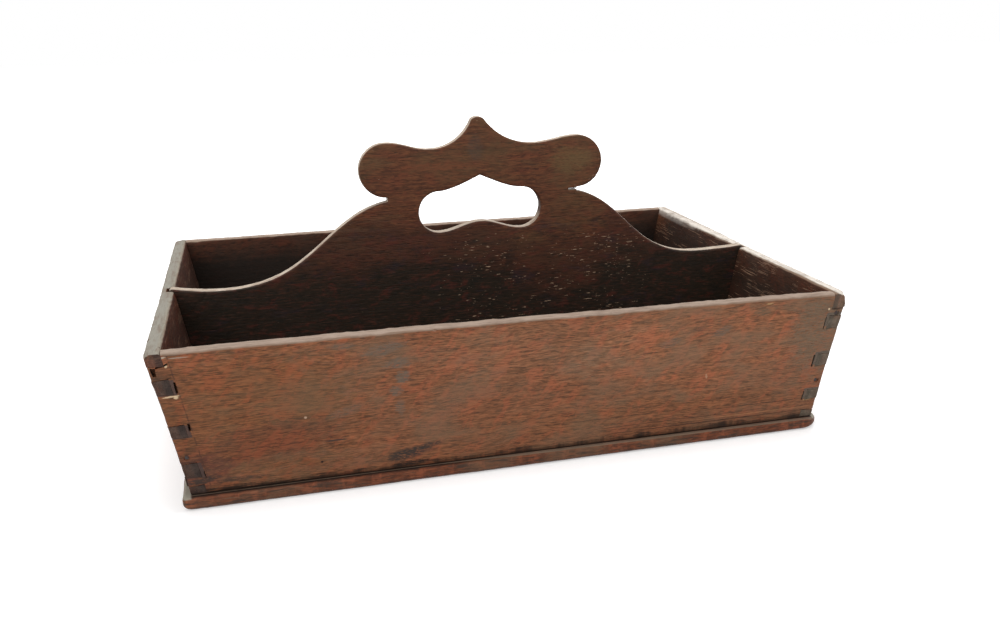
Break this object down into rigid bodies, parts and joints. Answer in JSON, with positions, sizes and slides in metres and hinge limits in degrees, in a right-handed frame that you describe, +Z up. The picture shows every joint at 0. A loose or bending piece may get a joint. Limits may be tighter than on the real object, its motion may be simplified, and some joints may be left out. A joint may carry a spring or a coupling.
{
  "type": "knife tray",
  "caption": "Splayed, dovetailed oak tray on a base board with a rounded edge, split in two by a divider that rises into a shaped handle with a hand hole.",
  "frame": {"origin": "under the middle of the base board, on its underside", "axes": "+X to the right along the divider, +Y to the back, +Z up"},
  "size_m": [0.3996, 0.2738, 0.1882],
  "materials": {
    "oak_front": "old waxed oak, red brown, worn pale on the arrises",
    "oak_end": "old waxed oak, red brown",
    "oak_handle": "handled dark oak with a soft sheen",
    "oak_base": "dark oak with a rubbed rounded edge, dry underneath",
    "iron": "blackened hand-made nails"
  },
  "bodies": {
    "root": {"base_board": "oak_base", "front_board": "oak_front", "back_board": "oak_front", "left_end_board": "oak_end", "right_end_board": "oak_end", "divider": "oak_handle", "base_nails": "iron", "corner_nails": "iron"}
  },
  "joints": []
}
